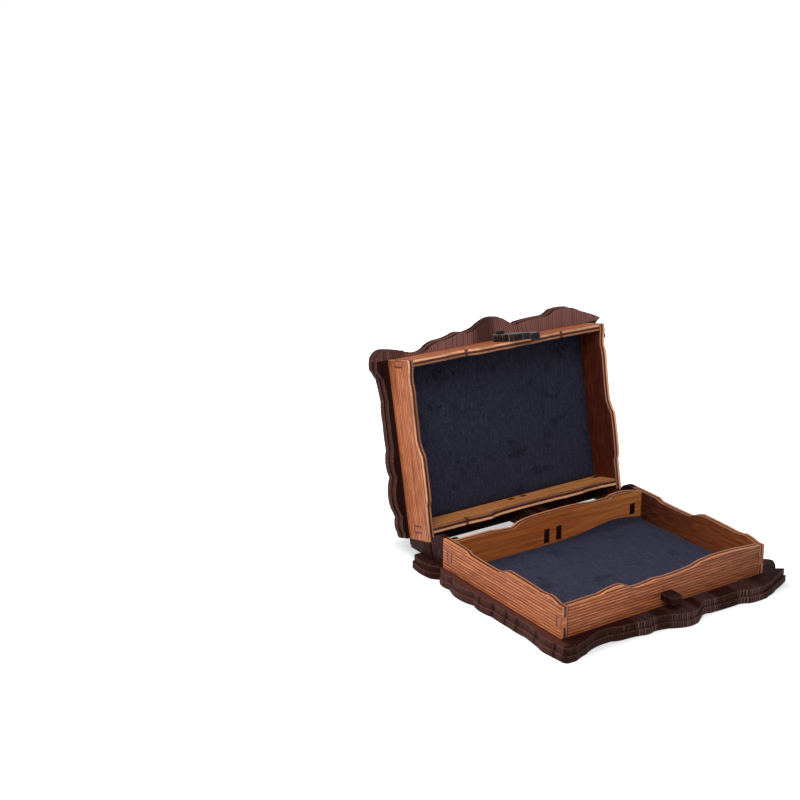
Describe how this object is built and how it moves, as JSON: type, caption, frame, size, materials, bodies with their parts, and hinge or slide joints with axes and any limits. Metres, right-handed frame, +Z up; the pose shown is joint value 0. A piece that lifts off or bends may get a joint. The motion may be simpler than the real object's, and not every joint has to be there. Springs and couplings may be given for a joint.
{
  "type": "dice chest",
  "caption": "Hinged plywood chest for dice with a lined base tray and lid tray between ornate scalloped plates, waved rims, a plywood rod hinge and a swivel hook latch.",
  "frame": {"origin": "centre of the walls' footprint on the surface the chest stands on", "axes": "+X along the front wall to the right, +Y from the front to the hinge, +Z up"},
  "size_m": [0.1726, 0.1872, 0.1287],
  "materials": {
    "oiled_ply": "satin",
    "dark_ply": "satin",
    "velvet": "matte"
  },
  "bodies": {
    "base": {"base_plate_lower": "dark_ply", "base_plate_upper": "dark_ply", "base_wall_front": "oiled_ply", "base_wall_rear": "oiled_ply", "base_wall_left": "oiled_ply", "base_wall_right": "oiled_ply", "base_lining": "velvet", "base_lug_left": "dark_ply", "base_lug_right": "dark_ply", "base_ear_left": "dark_ply", "base_ear_right": "dark_ply", "base_ear_mid_left": "dark_ply", "base_ear_mid_right": "dark_ply", "hinge_rod": "dark_ply", "latch_peg": "dark_ply"},
    "lid": {"lid_plate_inner": "dark_ply", "lid_plate_outer": "dark_ply", "lid_wall_front": "oiled_ply", "lid_wall_rear": "oiled_ply", "lid_wall_left": "oiled_ply", "lid_wall_right": "oiled_ply", "lid_lining": "velvet", "lid_lug_left": "dark_ply", "lid_lug_right": "dark_ply", "lid_arm_left": "dark_ply", "lid_arm_right": "dark_ply", "lid_arm_mid_left": "dark_ply", "lid_arm_mid_right": "dark_ply", "latch_pin": "dark_ply"},
    "latch": {"latch_hook": "dark_ply"}
  },
  "joints": [
    {"name": "lid_hinge", "type": "hinge", "parent": "base", "child": "lid", "pos_m": [0, 0.0563, 0.0163], "axis": [1, 0, 0], "range_deg": [0, 102.7]},
    {"name": "latch_swivel", "type": "hinge", "parent": "lid", "child": "latch", "pos_m": [0.0005, 0.09846, 0.11833], "axis": [0, -0.2198, -0.9755], "range_deg": [-75, 8]}
  ]
}
